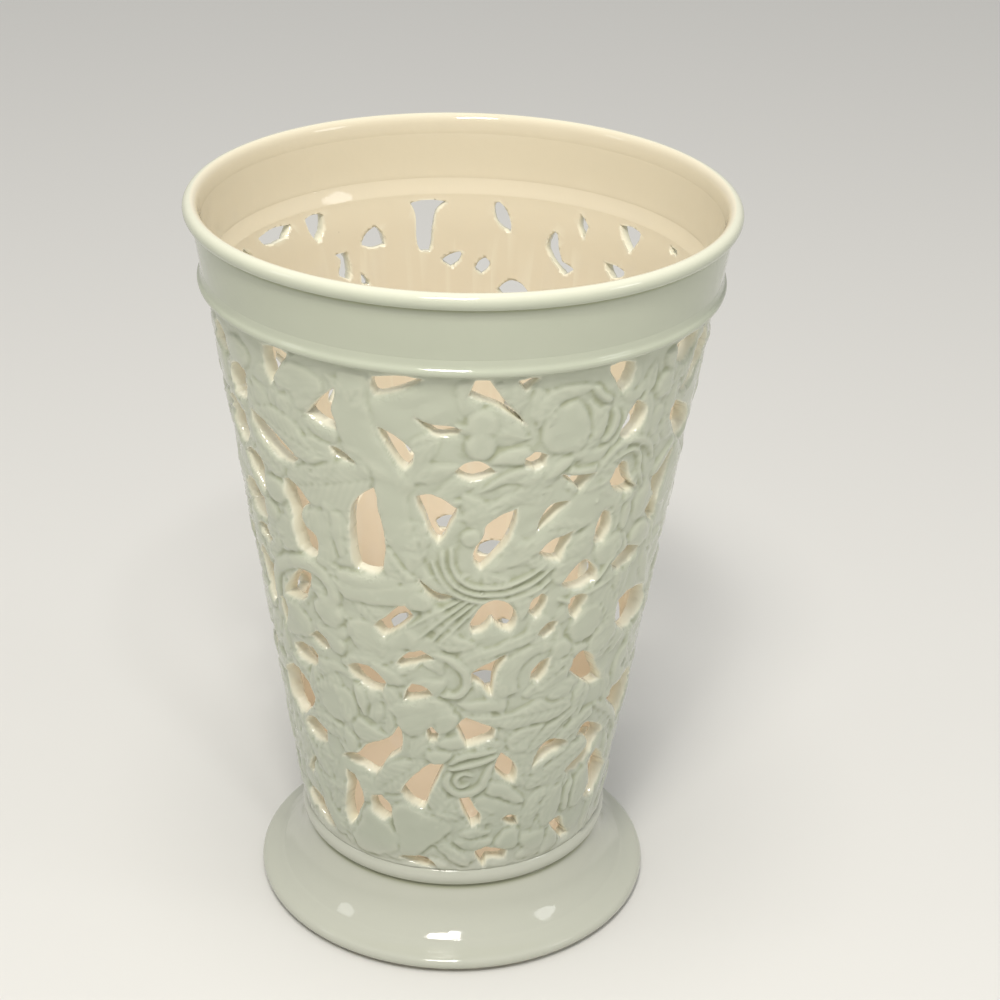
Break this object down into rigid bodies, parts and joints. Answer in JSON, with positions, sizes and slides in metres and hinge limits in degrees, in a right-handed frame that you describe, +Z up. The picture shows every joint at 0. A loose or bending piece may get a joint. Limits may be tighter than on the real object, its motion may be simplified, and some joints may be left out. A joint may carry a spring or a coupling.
{
  "type": "reticulated vase",
  "caption": "Tapering pottery vase with a pierced, relief-moulded wall, plain collar, rolled lip and spreading foot.",
  "frame": {"origin": "centre of the standing ring, on the surface that the vase stands on", "axes": "+Z up along the vase's axis, -Y towards the side shown in the picture, +X to its right"},
  "size_m": [0.1518, 0.1518, 0.218],
  "materials": {
    "glaze_outside": "clear glossy glaze over a pale sage cream body",
    "glaze_inside": "clear glossy glaze over a warm cream body",
    "bare_clay": "unglazed standing ring, matt"
  },
  "bodies": {
    "root": {"foot_ring": "bare_clay", "foot": "glaze_outside", "base_band": "glaze_outside", "floor": "glaze_inside", "pierced_wall": "glaze_outside", "collar_bead": "glaze_outside", "collar": "glaze_outside", "lip": "glaze_outside"}
  },
  "joints": []
}
